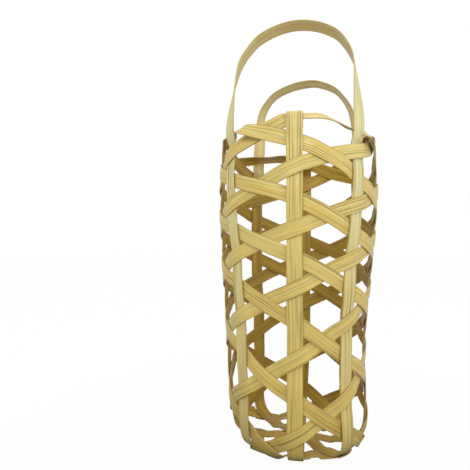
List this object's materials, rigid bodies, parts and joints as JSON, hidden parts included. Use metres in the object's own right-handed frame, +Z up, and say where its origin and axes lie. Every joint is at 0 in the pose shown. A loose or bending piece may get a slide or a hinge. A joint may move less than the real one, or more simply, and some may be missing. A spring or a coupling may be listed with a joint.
{
  "type": "woven splint basket",
  "caption": "Tall round basket of flat splints in an open hexagonal weave, with a loop handle at the front and one at the back.",
  "frame": {"origin": "on the floor under the middle of the base, at the centre of the flat underside of the lowest base splint", "axes": "+Z up along the basket's axis, -Y towards the side of the front handle, +X to the right seen from the front"},
  "size_m": [0.1132, 0.1258, 0.3043],
  "materials": {
    "stake_splint": "satin, split bamboo",
    "weaver_splint": "satin, split bamboo",
    "handle_splint": "satin, split bamboo"
  },
  "bodies": {
    "root": {"weaver_rising_1": "weaver_splint", "weaver_rising_2": "weaver_splint", "weaver_rising_3": "weaver_splint", "weaver_rising_4": "weaver_splint", "weaver_falling_1": "weaver_splint", "weaver_falling_2": "weaver_splint", "weaver_falling_3": "weaver_splint", "weaver_falling_4": "weaver_splint", "stake_pair_folded_1": "stake_splint", "stake_pair_handle_1": "stake_splint", "stake_pair_folded_2": "stake_splint", "stake_pair_handle_2": "stake_splint", "handle_front": "handle_splint", "handle_back": "handle_splint"}
  },
  "joints": []
}
